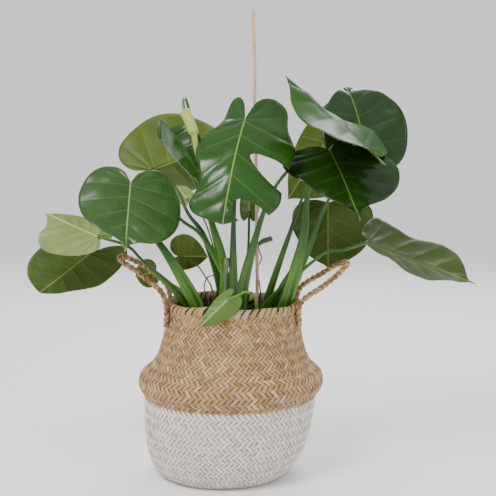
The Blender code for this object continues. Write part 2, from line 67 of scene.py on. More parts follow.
# Half outlines of a blade of length 1, from the notch round to the tip: (along, across).
HEART = [
    (0, 0), (-.07, .025), (-.19, .085), (-.27, .22), (-.25, .38), (-.13, .50), (.05, .565),
    (.25, .575), (.45, .52), (.63, .41), (.79, .26), (.90, .12), (.955, .045), (1, 0),
]
ROUND = [
    (0, 0), (-.07, .02), (-.18, .09), (-.235, .22), (-.20, .37), (-.08, .51), (.10, .595),
    (.30, .62), (.50, .585), (.68, .48), (.82, .32), (.90, .16), (.945, .06), (1, 0),
]
FIRST_VEIN_ROW = .42  # rows before this fan out from the stalk's joint

# ---- the leaves -----------------------------------------------------------------------------
# base: where the stalk meets the blade. tip: the point. face: the way the upper side looks. mm.
# arch: degrees the midrib turns through between base and tip.
# edges: the half outlines (left, right), as seen from above with the tip ahead.
# wide: how much wider each half is than its outline. lobes: the same for the base lobes' length.
# fold: degrees each half is raised from the midrib, at the base and at the tip.
# curl: degrees each half goes on turning upwards out to its margin.
# lift: degrees the base lobes turn upwards.
# splits: (half, its edges as row places): gaps that run in from the margin.
# finish: (upper side, underside). A blade that leaves one of these out has LEAF_DEFAULTS' value.

LEAF_DEFAULTS = dict(finish=("dark", "olive"), edges=(HEART, HEART), wide=(1, 1), lobes=1,
                     curl=(0, 0), lift=0, splits=[])
LEAVES = {
    "back_left": dict(
        base=(-128, 100, 527), tip=(14, 56, 583), face=(.12, .95, -.2), arch=8,
        wide=(.9, 1), lobes=1.25, fold=((60, 45), (2, 2)), curl=(0, -6)),
    "heart_left": dict(
        finish=("heart", "shade"),
        base=(-152, -55, 510), tip=(-152, -150, 405), face=(.17, -.72, .67), arch=-8,
        edges=([(0, 0), (-.05, .022), (-.16, .09), (-.22, .22), (-.19, .36), (-.08, .48),
                (.1, .56), (.3, .61), (.5, .60), (.68, .52), (.81, .40), (.86, .27), (.87, .14),
                (.9, .05), (1, 0)],
               [(0, 0), (-.05, .022), (-.16, .085), (-.22, .22), (-.18, .36), (-.07, .48),
                (.08, .56), (.26, .59), (.44, .55), (.6, .45), (.73, .30), (.8, .16), (.87, .06),
                (1, 0)]),
        fold=((4, 4), (4, 4)), curl=(-12, -14)),
    "low_left": dict(
        finish=("dark", "shade"),
        base=(-238, 60, 380), tip=(-318, 0, 317), face=(.2, .85, .1), arch=8,
        edges=([(0, 0), (-.1, .03), (-.3, .13), (-.35, .3), (-.2, .42), (.1, .5), (.4, .53),
                (.65, .52), (.82, .46), (.95, .32), (1, .15), (1, 0)],
               [(0, 0), (-.08, .018), (-.3, .1), (-.48, .24), (-.44, .37), (-.25, .45),
                (-.05, .48), (.19, .47), (.4, .38), (.6, .27), (.76, .19), (.9, .09), (1, 0)]),
        fold=((6, 6), (6, 6)), curl=(6, 6)),
    "pale_left": dict(
        finish=("matte", "pale"),
        base=(-215, 0, 415), tip=(-302, -20, 458), face=(0, .95, -.3), arch=10,
        edges=([(0, 0), (-.14, .03), (-.22, .09), (-.18, .17), (0, .23), (.25, .25), (.5, .19),
                (.75, .10), (.9, .03), (1, 0)],
               [(0, 0), (-.06, .06), (-.10, .17), (0, .31), (.2, .45), (.45, .55), (.70, .60),
                (.86, .55), (.93, .43), (.93, .31), (.89, .20), (.93, .08), (1, 0)]),
        fold=((10, 10), (5, 5))),
    "young": dict(
        finish=("glossy", "glossy"),
        base=(-100, -50, 580), tip=(-21, -110, 503), face=(.7, 0, .7), arch=-16,
        wide=(.8, .7), lobes=.55, fold=((60, 60), (30, 30)), curl=(20, 20)),
    "split_centre": dict(
        finish=("glossy", "olive"),
        base=(39, -70, 616), tip=(4, -170, 450), face=(-.05, -.85, .5), arch=50,
        edges=([(0, 0), (-.07, .014), (-.2, .05), (-.27, .12), (-.28, .22), (-.2, .32),
                (-.02, .36), (.14, .43), (.26, .46), (.42, .44), (.56, .41), (.68, .42),
                (.78, .41), (.88, .33), (.92, .2), (.96, .1), (1, 0)],
               [(0, 0), (-.08, .015), (-.2, .045), (-.25, .1), (-.2, .155), (-.06, .175),
                (.06, .20), (.18, .27), (.3, .32), (.42, .32), (.56, .27), (.68, .25),
                (.78, .28), (.87, .3), (.94, .25), (.975, .13), (1, 0)]),
        splits=[(0, .57, .67), (0, .81, .92)],
        lift=40, fold=((-6, -6), (-6, -6)), curl=(-16, -16)),
    "folded_right": dict(
        finish=("matte", "olive"),
        base=(235, -100, 572), tip=(105, -100, 686), face=(.35, -.5, .7), arch=4,
        wide=(1.05, .9), lobes=.8, fold=((30, -14), (-12, -50))),
    "upright_right": dict(
        base=(244, 0, 570), tip=(218, 80, 676), face=(0, -.8, .5), arch=60,
        wide=(.85, .96), lobes=1.1, fold=((4, 4), (4, 4))),
    "broad_right": dict(
        base=(180, -60, 565), tip=(222, -150, 454), face=(.1, -.8, .6), arch=16,
        edges=([(0, 0), (-.05, .03), (-.16, .10), (-.2, .25), (-.12, .42), (.05, .55),
                (.25, .63), (.42, .66), (.56, .63), (.68, .54), (.78, .39), (.82, .24),
                (.87, .08), (1, 0)],
               [(0, 0), (-.05, .03), (-.16, .12), (-.2, .28), (-.13, .45), (-.03, .53),
                (.1, .58), (.24, .54), (.37, .46), (.5, .36), (.63, .26), (.76, .14), (.86, .05),
                (1, 0)]),
        lobes=.55, fold=((1, 1), (1, 1)), curl=(-9, -9)),
    "back_right": dict(
        base=(200, 100, 603), tip=(115, 80, 475), face=(.1, .9, .1), arch=10,
        wide=(.5, 1.1), fold=((6, 6), (6, 6))),
    "low_right": dict(
        finish=("dark", "shade"),
        base=(191, 120, 466), tip=(189, 80, 351), face=(0, .95, -.2), arch=14,
        edges=([(0, 0), (-.03, .07), (-.05, .22), (0, .42), (.12, .52), (.28, .54), (.42, .52),
                (.58, .44), (.76, .33), (.87, .2), (.94, .08), (1, 0)],
               [(0, 0), (-.03, .07), (-.05, .25), (-.03, .48), (.04, .64), (.2, .69), (.42, .66),
                (.64, .57), (.79, .42), (.89, .25), (.95, .09), (1, 0)]),
        fold=((4, 4), (4, 4))),
    "far_right": dict(
        finish=("dark", "shade"),
        base=(252, 0, 406), tip=(436, -20, 335), face=(.02, 1, .08), arch=6,
        edges=([(0, 0), (-.02, .03), (.02, .08), (.12, .16), (.25, .22), (.39, .28), (.51, .31),
                (.62, .31), (.74, .25), (.86, .12), (.94, .03), (1, 0)],
               [(0, 0), (-.06, .05), (-.07, .2), (0, .36), (.1, .36), (.2, .32), (.33, .30),
                (.5, .34), (.64, .35), (.76, .31), (.86, .17), (.93, .04), (1, 0)]),
        fold=((60, 60), (60, 60))),
    "front_small": dict(
        finish=("matte", "fresh"),
        base=(12, -132, 326), tip=(-33, -146, 284), face=(.2, .9, .2), arch=10,
        wide=(.4, .75), fold=((20, 20), (20, 20))),
    "mid_left": dict(
        base=(-82, 80, 372), tip=(-28, 80, 371), face=(0, .9, .2), arch=10,
        wide=(.9, 1.3), fold=((10, 10), (10, 10))),
    "small_left": dict(
        base=(-129, 100, 340), tip=(-162, 95, 333), face=(0, .9, .1), arch=6,
        edges=(ROUND, ROUND), wide=(1.3, 1.3), fold=((8, 8), (8, 8))),
    "centre_back": dict(
        finish=("dark", "shade"),
        base=(46, 60, 454), tip=(48, 80, 512), face=(0, .9, -.3), arch=10,
        wide=(.5, .5), fold=((10, 10), (10, 10))),
    "small_back": dict(
        finish=("dark", "pale"),
        base=(-66, 80, 476), tip=(-86, 85, 500), face=(0, .9, .2), arch=8,
        wide=(.9, .9), fold=((10, 10), (10, 10))),
}

for each in LEAVES.values():
    for key, value in LEAF_DEFAULTS.items():
        each.setdefault(key, value)

# ---- the leaf stalks: foot on the soil, bends, and the joint with the blade; mm ---------------
# radius: (at the sheath near the foot, at the blade)

STALKS = {
    "pale_left": dict(
        route=[(-45, 0), (-64, -20, 302), (-136, -20, 375), (-163, -20, 401)], radius=(6, 2.3)),
    "low_left": dict(
        route=[(-30, -25), (-44, -45, 302), (-109, -45, 412), (-160, -5, 440), (-212, 40, 415)],
        radius=(8, 2.4)),
    "heart_left": dict(
        route=[(4, -20), (20, -32, 309), (-29, -30, 412), (-69, -28, 446), (-106, -30, 483)],
        radius=(6.5, 2.4)),
    "back_left": dict(
        finish="deep", route=[(-14, 2), (0, -5, 309), (-30, -5, 412), (-60, 10, 455),
        (-85, 45, 500)], radius=(6, 2.4)),
    "young": dict(
        route=[(14, 4), (10, -12, 309), (-20, -18, 440), (-45, -12, 505), (-75, -22, 560)],
        radius=(5, 2)),
    "new_leaf": dict(
        route=[(-10, -42), (4, -50, 360), (-20, -38, 455), (-42, -12, 560), (-54, -10, 622),
        (-60, -38, 650), (-63, -60, 645)], radius=(5, 2)),
    "split_centre": dict(
        finish="deep", route=[(24, -48), (20, -55, 309), (20, -60, 448), (30, -52, 560)],
        radius=(5.5, 2.4)),
    "centre_back": dict(finish="deep", route=[(34, 24), (44, 22, 381)], radius=(4.5, 2)),
    "broad_right": dict(
        route=[(40, -26), (32, -30, 309), (64, -30, 440), (93, -45, 508), (140, -40, 555)],
        radius=(7, 2.6)),
    "folded_right": dict(
        route=[(82, -30), (106, -22, 292), (138, -22, 411), (146, -22, 490), (170, -26, 548),
        (200, -28, 582), (228, -40, 594), (238, -68, 579)], radius=(8, 2.4)),
    "upright_right": dict(
        route=[(88, 0), (112, 10, 300), (156, 18, 408), (178, 15, 468)], radius=(7, 2.4)),
    "back_right": dict(
        route=[(62, 42), (76, 30, 293), (120, 45, 423), (150, 75, 500)], radius=(4.5, 2)),
    "low_right": dict(route=[(80, 32), (100, 50, 308), (160, 98, 400)], radius=(6, 2.2)),
    "far_right": dict(
        route=[(62, -10), (74, -4, 291), (167, 0, 380), (210, 0, 392)], radius=(5.5, 2.2)),
    "front_small": dict(
        finish="pale", route=[(56, -48), (56, -88, 318), (42, -126, 337), (28, -140, 334)],
        radius=(2, 1.5)),
    "mid_left": dict(
        finish="deep", route=[(-20, 26), (-18, 32, 308), (-33, 62, 338), (-56, 78, 364)],
        radius=(2.4, 1.3)),
    "small_left": dict(route=[(-42, 26), (-66, 48, 302), (-100, 80, 326)], radius=(2.4, 1.3)),
    "small_back": dict(route=[(4, 24), (0, 30, 309), (-30, 60, 430)], radius=(2.4, 1.2)),
}

# Stalks that carry no blade: (route, radius at each point), mm.
BARE_STALKS = {
    "cut_stalk_tall": ([(76, 50, 190.4), (72, 46, 250), (64, 40, 330), (58, 38, 352), (68, 40, 372),
                        (62, 40, 392), (68, 40, 402), (86, 36, 409)],
                       [3, 2, 1.2, 1.1, 1.2, 1.6, 4.5, 5]),
    "cut_stalk_short": ([(-2, -60, 190.4), (4, -66, 260), (6, -66, 350), (8, -64, 372),
                         (9, -64, 386)], [3, 2, 2, 4.5, 4]),
    "aerial_root": ([(-16, 48, 190.4), (-26, 46, 290), (-34, 46, 318), (-28, 46, 338),
                     (-12, 46, 340), (-6, 46, 322), (-14, 46, 308)], [1.2] * 7),
}

NEW_LEAF = [(-60, -70, 628), (-53, -78, 614), (-45, -86, 592), (-40, -92, 564), (-35, -96, 543),
            (-30, -100, 526)]


# ---- shared tools -----------------------------------------------------------------------------


def linear(code):
    """A colour given as an sRGB hex code, turned to linear RGBA."""
    parts = [int(code[i:i + 2], 16) / 255 for i in (1, 3, 5)]
    return (*[p / 12.92 if p <= .04045 else ((p + .055) / 1.055) ** 2.4 for p in parts], 1)


def feed(tree, made, key, value):
    """Sets a node's input to a value or a colour's hex code, or links a node or socket to it."""
    if isinstance(value, bpy.types.Node):
        value = value.outputs[0]
    if isinstance(value, bpy.types.NodeSocket):
        tree.links.new(value, made.inputs[key])
    else:
        made.inputs[key].default_value = linear(value) if isinstance(value, str) else value


def add(tree, kind, properties, inputs=None):
    """Adds one shader node with its properties and its inputs, which go by name or number. The
    property stops gives a colour ramp its (place, hex code) pairs."""
    made = tree.nodes.new("ShaderNode" + kind)
    for key, value in properties.items():
        if key == "stops":
            band = made.color_ramp
            while len(band.elements) < len(value):
                band.elements.new(.5)
            for element, (place, code) in zip(band.elements, value):
                element.position, element.color = place, linear(code)
        else:
            setattr(made, key, value)
    for key, value in (inputs or {}).items():
        feed(tree, made, key, value)
    return made


def new_material(name):
    made = bpy.data.materials.new(name)
    made.use_nodes = True
    return made, made.node_tree, made.node_tree.nodes["Principled BSDF"]


def dress(tree, shader, colour, rough, relief, strength, depth):
    """Gives a material its colour, its roughness and a relief of some depth in metres."""
    bump = add(tree, "Bump", {},
               {"Strength": strength, "Distance": depth, "Height": relief})
    for key, value in (("Base Color", colour), ("Roughness", rough), ("Normal", bump)):
        feed(tree, shader, key, value)


def finish_mesh(name, bm, finishes, smooth=True):
    mesh = bpy.data.meshes.new(name)
    bm.to_mesh(mesh)
    bm.free()
    if smooth:
        mesh.shade_smooth()
    made = bpy.data.objects.new(name, mesh)
    bpy.context.scene.collection.objects.link(made)
    for finish in finishes:
        mesh.materials.append(finish)
    return made


def part_of_plant(piece, slot, *nodes):
    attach(piece, "root")
    if nodes:
        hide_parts(*nodes)
    return piece


def catmull_rom(a, b, c, d, t):
    """The point a share t of the way from b to c on a smooth curve through all four."""
    return .5 * (
        2 * b + (c - a) * t + (2 * a - 5 * b + 4 * c - d) * t**2
        + (3 * b - 3 * c + d - a) * t**3
    )


def curve_point(points, share):
    """The point a share of the way through a smooth curve that passes through the points."""
    last = len(points) - 1
    along = min(max(share, 0), 1) * last
    i = min(int(along), last - 1)
    before = points[i - 1] if i else 2 * points[0] - points[1]
    after = points[i + 2] if i + 2 <= last else 2 * points[last] - points[last - 1]
    return catmull_rom(before, points[i], points[i + 1], after, along - i)


def even_route(points, step):
    """Points about a step apart along the smooth curve through the points, ends included."""
    fine = [curve_point(points, i / 400) for i in range(401)]
    run = [0]
    for a, b in zip(fine, fine[1:]):
        run.append(run[-1] + (b - a).length)
    count = max(4, round(run[-1] / step))
    route, k = [], 0
    for i in range(count + 1):
        target = run[-1] * i / count
        while k < 399 and run[k + 1] < target:
            k += 1
        route.append(fine[k].lerp(fine[k + 1], (target - run[k]) / max(run[k + 1] - run[k], 1e-9)))
    return route


def smoothstep(low, high, value):
    share = min(max((value - low) / (high - low), 0), 1)
    return share * share * (3 - 2 * share)


def sections(route, hint):
    """Each route point with two directions across it, carried along without twisting.
    The first starts as near as it can to the hint."""
    framed, across = [], hint
    for i, point in enumerate(route):
        ahead = (route[min(i + 1, len(route) - 1)] - route[max(i - 1, 0)]).normalized()
        across = (across - ahead * across.dot(ahead)).normalized()
        framed.append((point, across, ahead.cross(across)))
    return framed


def tube(name, route, shape, finish, around=16, hint=Vector((0, 1, 0)), close=True):
    """A skin round a route. shape(share, angle) gives the (across, other) offset in metres.
    The UV map runs once round and, in metres, along."""
    framed = sections(route, hint)
    rings = len(route)
    bm = bmesh.new()
    bmesh.ops.create_grid(bm, x_segments=rings - 1, y_segments=around, size=1)
    layer = bm.loops.layers.uv.new("surface")
    step = (route[1] - route[0]).length
    where = {}
    for v in bm.verts:
        ring = round((v.co.x + 1) / 2 * (rings - 1))
        turn = round((v.co.y + 1) / 2 * around)
        where[v] = (ring, turn)
    for face in bm.faces:
        for loop in face.loops:
            ring, turn = where[loop.vert]
            loop[layer].uv = (turn / around, ring * step)
    for v, (ring, turn) in where.items():
        point, across, other = framed[ring]
        a, b = shape(ring / (rings - 1), TAU * turn / around)
        v.co = point + across * a + other * b
    bmesh.ops.remove_doubles(bm, verts=bm.verts, dist=1e-6)
    if close:
        bmesh.ops.holes_fill(bm, edges=[e for e in bm.edges if e.is_boundary], sides=0)
    bmesh.ops.recalc_face_normals(bm, faces=bm.faces)
    return finish_mesh(name, bm, [finish])


# ---- materials --------------------------------------------------------------------------------


RGBA = {"data_type": "RGBA"}


def blade_finish(name, deep, fresh, vein, rough, side_share=.25, net=.5):
    """Leaf skin: a waxy cuticle over soft tissue. The eye sees broad patches of two greens, a
    pale midrib, fine pale side veins and a net of cells 4 to 6 mm across."""
    made, tree, shader = new_material(name)
    flat = add(tree, "UVMap", {"uv_map": "flat"})
    veins = add(tree, "UVMap", {"uv_map": "veins"})
    across = add(tree, "SeparateXYZ", {}, {0: flat}).outputs[1]
    rows = add(tree, "SeparateXYZ", {}, {0: veins}).outputs
    place = add(tree, "TexCoord", {}).outputs["Object"]
    # patches about 40 mm across
    patches = add(tree, "TexNoise", {}, {"Vector": place, "Scale": 26, "Detail": 3})
    patches = add(tree, "Math", {"operation": "MULTIPLY", "use_clamp": True},
                  {0: patches, 1: .8})
    body = add(tree, "Mix", RGBA, {0: patches, 6: deep, 7: fresh}).outputs[2]
    # the midrib fades out between 0.5 and 1.6 mm to each side
    mid = add(tree, "Math", {"operation": "ABSOLUTE"}, {0: across})
    mid = add(tree, "MapRange", {}, {0: mid, 1: .0005, 2: .0016, 3: 1, 4: 0})
    # the veins map counts side veins along the blade, and runs from -1 to 1 across it
    wave = add(tree, "Math", {"operation": "MULTIPLY"}, {0: rows[0], 1: math.pi})
    wave = add(tree, "Math", {"operation": "SINE"}, {0: wave})
    side = add(tree, "Math", {"operation": "ABSOLUTE"}, {0: wave})
    side = add(tree, "MapRange", {}, {0: side, 1: 0, 2: .16, 3: side_share, 4: 0})
    fade = add(tree, "Math", {"operation": "ABSOLUTE"}, {0: rows[1]})
    fade = add(tree, "MapRange", {}, {0: fade, 1: .15, 2: .97, 3: 1, 4: .15})
    side = add(tree, "Math", {"operation": "MULTIPLY"}, {0: side, 1: fade})
    lines = add(tree, "Math", {"operation": "MAXIMUM"}, {0: mid, 1: side})
    lines = add(tree, "Math", {"operation": "MULTIPLY"}, {0: lines, 1: .8})
    # cells about 5 mm across, drawn coarser than real ones so that they show
    cells = add(tree, "TexVoronoi", {"feature": "DISTANCE_TO_EDGE"},
                {"Vector": flat, "Scale": 210, "Randomness": .9})
    cells = add(tree, "MapRange", {}, {0: cells, 1: 0, 2: .16, 3: 1, 4: 0})
    pale = add(tree, "Math", {"operation": "MULTIPLY"}, {0: cells, 1: .07 * net})
    body = add(tree, "Mix", RGBA, {0: pale, 6: body, 7: vein}).outputs[2]
    body = add(tree, "Mix", RGBA, {0: lines, 6: body, 7: vein}).outputs[2]
    # dull and shiny patches about 17 mm across
    cloud = add(tree, "TexNoise", {}, {"Vector": place, "Scale": 60, "Detail": 4})
    shine = add(tree, "MapRange", {}, {0: cloud, 3: rough - .08, 4: rough + .10})
    relief = add(tree, "Math", {"operation": "MULTIPLY"}, {0: cells, 1: -.35})
    relief = add(tree, "Math", {"operation": "ADD"}, {0: relief, 1: cloud})
    shader.inputs["Specular IOR Level"].default_value = .34
    dress(tree, shader, body, shine, relief, .3, .4 * MM)
    return made


def stalk_finish(name, base, streak, shade, rough=.38):
    """Leaf stalk: smooth, juicy and ribbed. The eye sees light and dark green streaks along it
    and a satin shine."""
    made, tree, shader = new_material(name)
    flat = add(tree, "UVMap", {"uv_map": "surface"})
    ribs = add(tree, "Mapping", {}, {0: flat, "Scale": (9, 6, 1)})
    ribs = add(tree, "TexNoise", {}, {"Vector": ribs, "Scale": 1.6, "Detail": 4})
    body = add(tree, "ValToRGB", {"stops": [(.32, shade), (.5, base), (.68, streak)]},
               {0: ribs})
    # shaded patches about 60 mm long
    place = add(tree, "TexCoord", {}).outputs["Object"]
    patches = add(tree, "TexNoise", {}, {"Vector": place, "Scale": 16, "Detail": 2})
    patches = add(tree, "Math", {"operation": "MULTIPLY"}, {0: patches, 1: .55})
    body = add(tree, "Mix", RGBA, {0: patches, 6: body, 7: shade}).outputs[2]
    dress(tree, shader, body, rough, ribs, .3, .6 * MM)
    return made


def seagrass_finish(name, tones, fleck, fleck_share, groove, gap_shade_share=.85, rough=.66):
    """Flattened seagrass strip, dried and plaited. The eye sees each strip in its own tone, fine
    fibres about 1 mm apart along it, painted shade (the colour groove) along its edges and tucked
    ends where strips meet and dive, and scattered flecks."""
    made, tree, shader = new_material(name)
    tone = add(tree, "Attribute", {"attribute_name": "tone"}).outputs["Fac"]
    stops = [(i / (len(tones) - 1), code) for i, code in enumerate(tones)]
    body = add(tree, "ValToRGB", {"stops": stops}, {0: tone})
    flat = add(tree, "UVMap", {"uv_map": "strip"})
    fibres = add(tree, "Mapping", {}, {0: flat, "Scale": (70, 1100, 1)})
    fibres = add(tree, "TexNoise", {}, {"Vector": fibres, "Scale": 1, "Detail": 3})
    dark = add(tree, "Math", {"operation": "MULTIPLY"}, {0: fibres, 1: .5})
    body = add(tree, "Mix", {"data_type": "RGBA", "blend_type": "MULTIPLY"},
               {0: dark, 6: body, 7: fleck}).outputs[2]
    # the outer third of a strip's width, and its tucked ends, darken: painted shade in the gaps
    edge = add(tree, "Attribute", {"attribute_name": "edge"}).outputs["Fac"]
    edge = add(tree, "MapRange", {}, {0: edge, 1: .66, 2: 1, 3: 0, 4: gap_shade_share})
    body = add(tree, "Mix", RGBA, {0: edge, 6: body, 7: groove}).outputs[2]
    # flecks about 4 mm across
    place = add(tree, "TexCoord", {}).outputs["Object"]
    spots = add(tree, "TexNoise", {}, {"Vector": place, "Scale": 240, "Detail": 4})
    spots = add(tree, "MapRange", {}, {0: spots, 1: .58, 2: .72, 3: 0, 4: fleck_share})
    body = add(tree, "Mix", RGBA, {0: spots, 6: body, 7: fleck}).outputs[2]
    dress(tree, shader, body, rough, fibres, .5, .5 * MM)
    return made


def lining_finish():
    """The inner face of the plaiting, unlit seagrass: its near black to dark brown is painted shade,
    the shade inside the neck and in the gaps. The eye sees dark brown diagonal strips about 7 mm
    wide."""
    made, tree, shader = new_material("seagrass plaiting, inner face, painted shade")
    place = add(tree, "TexCoord", {}).outputs["Object"]
    split = add(tree, "SeparateXYZ", {}, {0: place}).outputs
    turn = add(tree, "Math", {"operation": "ARCTAN2"}, {0: split[1], 1: split[0]})
    turn = add(tree, "Math", {"operation": "MULTIPLY"}, {0: turn, 1: STRANDS / 2})
    rise = add(tree, "Math", {"operation": "MULTIPLY"},
               {0: split[2], 1: math.pi / LINING_ROW})
    one = add(tree, "Math", {"operation": "ADD"}, {0: turn, 1: rise})
    one = add(tree, "Math", {"operation": "SINE"}, {0: one})
    two = add(tree, "Math", {"operation": "SUBTRACT"}, {0: turn, 1: rise})
    two = add(tree, "Math", {"operation": "SINE"}, {0: two})
    ridges = add(tree, "Math", {"operation": "MAXIMUM"}, {0: one, 1: two})
    # painted shade: darkest between the crossing strips, lighter on their ridges
    body = add(tree, "ValToRGB",
               {"stops": [(.1, "#1c120b"), (.7, "#4a3220"), (1, "#7d5a3a")]}, {0: ridges})
    dress(tree, shader, body, .85, ridges, .8, 1.5 * MM)
    return made


def rope_finish(name, light, middle, dark):
    """Twisted seagrass rope: loose fibres laid into a strand. The eye sees warm brown to straw
    fibres, dark in the grooves."""
    made, tree, shader = new_material(name)
    flat = add(tree, "UVMap", {"uv_map": "surface"})
    fibres = add(tree, "Mapping", {},
                 {0: flat, "Scale": (14, 60, 1), "Rotation": (0, 0, .5)})
    fibres = add(tree, "TexNoise", {}, {"Vector": fibres, "Scale": 1, "Detail": 4})
    # patches about 9 mm across
    place = add(tree, "TexCoord", {}).outputs["Object"]
    patches = add(tree, "TexNoise", {}, {"Vector": place, "Scale": 110, "Detail": 3})
    part = add(tree, "Math", {"operation": "MULTIPLY"}, {0: fibres, 1: .6})
    rest = add(tree, "Math", {"operation": "MULTIPLY"}, {0: patches, 1: .4})
    both = add(tree, "Math", {"operation": "ADD"}, {0: part, 1: rest})
    body = add(tree, "ValToRGB", {"stops": [(.36, dark), (.5, middle), (.62, light)]},
               {0: both})
    dress(tree, shader, body, .8, fibres, .7, .8 * MM)
    return made


def grained_finish(name, dark, light, grain_size, rough, strength, depth):
    """A finish with two tones and grains of one size all over."""
    made, tree, shader = new_material(name)
    place = add(tree, "TexCoord", {}).outputs["Object"]
    grain = add(tree, "TexNoise", {},
                {"Vector": place, "Scale": 1 / grain_size, "Detail": 6, "Roughness": .65})
    body = add(tree, "ValToRGB", {"stops": [(.35, dark), (.65, light)]}, {0: grain})
    dress(tree, shader, body, rough, grain, strength, depth)
    return made


def cane_finish():
    """Thin bamboo cane, dried and sanded. The eye sees pinkish tan with fine lengthwise grain."""
    made, tree, shader = new_material("bamboo cane, dried")
    flat = add(tree, "UVMap", {"uv_map": "surface"})
    grain = add(tree, "Mapping", {}, {0: flat, "Scale": (24, 30, 1)})
    grain = add(tree, "TexNoise", {}, {"Vector": grain, "Scale": 1, "Detail": 4})
    body = add(tree, "ValToRGB",
               {"stops": [(.3, "#a07a5a"), (.5, "#c4a184"), (.7, "#d8bca2")]}, {0: grain})
    dress(tree, shader, body, .55, grain, .3, .4 * MM)
    return made


# ---- basket -----------------------------------------------------------------------------------


def basket_centre(z):
    share = min(max(z / RIM_HEIGHT, 0), 1)
    return RIM_LEAN * (1 - (1 - share) ** 2)


LINING_ROW = 5.2 * MM  # height of one crossing row, seen from inside
STRANDS = 96  # strips each way round: 7.3 mm apart at the belly
ROW = math.pi / STRANDS  # turn from one crossing row to the next


def smooth_profile():
    """(turn, radius, height) up the basket's side, where turn is how far round a strip laid at 45
    degrees has gone."""
    points = [Vector((r * MM, z * MM)) for z, r in BASKET_PROFILE]
    fine = [curve_point(points, i / 900) for i in range(901)]
    rows, turn = [(0, fine[0].x, fine[0].y)], 0
    for a, b in zip(fine, fine[1:]):
        turn += (b - a).length / ((a.x + b.x) / 2)
        rows.append((turn, b.x, b.y))
    return rows


PROFILE = smooth_profile()


def profile_at(turn):
    """(radius, height) and the outward slope, as a unit (radius, height), at a turn."""
    last = len(PROFILE) - 1
    low, high = 0, last
    while high - low > 1:
        middle = (low + high) // 2
        if PROFILE[middle][0] <= turn:
            low = middle
        else:
            high = middle
    a, b = PROFILE[low], PROFILE[high]
    share = (turn - a[0]) / (b[0] - a[0])
    along = Vector((b[1] - a[1], b[2] - a[2])).normalized()
    return a[1] + (b[1] - a[1]) * share, a[2] + (b[2] - a[2]) * share, (along.y, -along.x)


def wall_point(angle, turn, lift):
    """A point on the basket's outside, raised by lift. The hand-made wall is slightly uneven."""
    radius, height, (out, up) = profile_at(turn)
    uneven = noise.noise(Vector((math.cos(angle) * 1.6, math.sin(angle) * 1.6, height * 14)))
    lift += 1.0 * MM * uneven
    radius += out * lift
    height += up * lift
    return Vector((basket_centre(height) + radius * math.cos(angle), radius * math.sin(angle),
                   max(height, .2 * MM)))


def flat_strips(count, long, wide, half_length, half_width):
    """Copies of one flat strip of long by wide squares, whose UV map is in metres, with a tone
    and an edge value, the mask for painted shade, to fill in on each point."""
    one = bmesh.new()
    bmesh.ops.create_grid(one, x_segments=long, y_segments=wide, size=1)
    layer = one.loops.layers.uv.new("strip")
    for face in one.faces:
        for loop in face.loops:
            loop[layer].uv = (loop.vert.co.x * half_length, loop.vert.co.y * half_width)
    template = bpy.data.meshes.new("strip")
    one.to_mesh(template)
    one.free()
    bm = bmesh.new()
    for _ in range(count):
        bm.from_mesh(template)
    bpy.data.meshes.remove(template)
    return bm, bm.verts.layers.float.new("tone"), bm.verts.layers.float.new("edge")


def weave_band(name, floats, finish):
    """Plaited strips: each float passes over two strips of the other direction, then dives.
    floats holds (angle, turn, direction) of each one's middle."""
    long, wide = 8, 4
    reach, half = 1.34, .465
    rng = random.Random(name)
    # a float is 18 mm long with its tucked ends, and 6.5 mm wide
    bm, tone, edge = flat_strips(len(floats), long, wide, 9 * MM, 3.25 * MM)
    layer = bm.loops.layers.uv["strip"]
    count = (long + 1) * (wide + 1)
    looks = [(rng.random(), rng.gauss(0, .05), rng.uniform(-.2, .2) * MM, rng.uniform(.9, 1),
              rng.random(), rng.random()) for _ in floats]
    for index, v in enumerate(bm.verts):
        angle, turn, direction = floats[index // count]
        shade, skew, raised, narrow, *_ = looks[index // count]
        end, margin = abs(v.co.x), abs(v.co.y)
        t, c = v.co.x * reach, v.co.y * half * narrow
        c += skew * t * .5
        crown = 1 - margin**2
        lift = .5 * MM + raised + 1.0 * MM * (1 - (abs(t) / 1.08) ** 4) + .6 * MM * crown
        if direction > 0:
            v.co = wall_point(angle + (t + c) * ROW, turn + (t - c) * ROW, lift)
        else:
            v.co = wall_point(angle + (c - t) * ROW, turn + (t + c) * ROW, lift)
        v[tone] = shade
        # edge: where the painted shade of the gaps falls, at the margins and the tucked ends
        v[edge] = max(margin, 1.12 * end - .25)
    per_face = long * wide
    for index, face in enumerate(bm.faces):
        look = looks[index // per_face]
        for loop in face.loops:
            loop[layer].uv.x += look[4]
            loop[layer].uv.y += look[5]
    bmesh.ops.recalc_face_normals(bm, faces=bm.faces)
    for face in bm.faces:
        middle = face.calc_center_median()
        away = Vector((middle.x - basket_centre(middle.z), middle.y, 0))
        if face.normal.dot(away) < 0 and abs(face.normal.z) < .95:
            face.normal_flip()
    return finish_mesh(name, bm, [finish])


def make_lining(finish):
    """The layer under the outer strips, with the flat base, seen inside the neck and in gaps. Its
    dark finish is painted shade.
    """
    turns, rows = 128, 60
    heights = [PROFILE[round(i * (len(PROFILE) - 1) / rows)] for i in range(rows + 1)]
    bm = bmesh.new()
    bmesh.ops.create_grid(bm, x_segments=turns, y_segments=rows + 1, size=1)
    for v in bm.verts:
        angle = (v.co.x + 1) * math.pi
        row = round((v.co.y + 1) / 2 * (rows + 1)) - 1
        radius, height = (0, 0) if row < 0 else heights[row][1:]
        radius = max(0, radius - .3 * MM)
        v.co = (basket_centre(height) + radius * math.cos(angle), radius * math.sin(angle),
                max(height, .1 * MM))
    bmesh.ops.remove_doubles(bm, verts=bm.verts, dist=1e-6)
    bmesh.ops.recalc_face_normals(bm, faces=bm.faces)
    made = finish_mesh("basket_lining", bm, [finish])
    below = min(made.data.polygons, key=lambda face: face.center.z)
    if below.normal.z > 0:
        made.data.flip_normals()
    skin = made.modifiers.new("thickness", "SOLIDIFY")
    skin.thickness = BASKET_WALL - .6 * MM
    skin.offset = -1
    part_of_plant(made, "seagrass", "woven_basket")


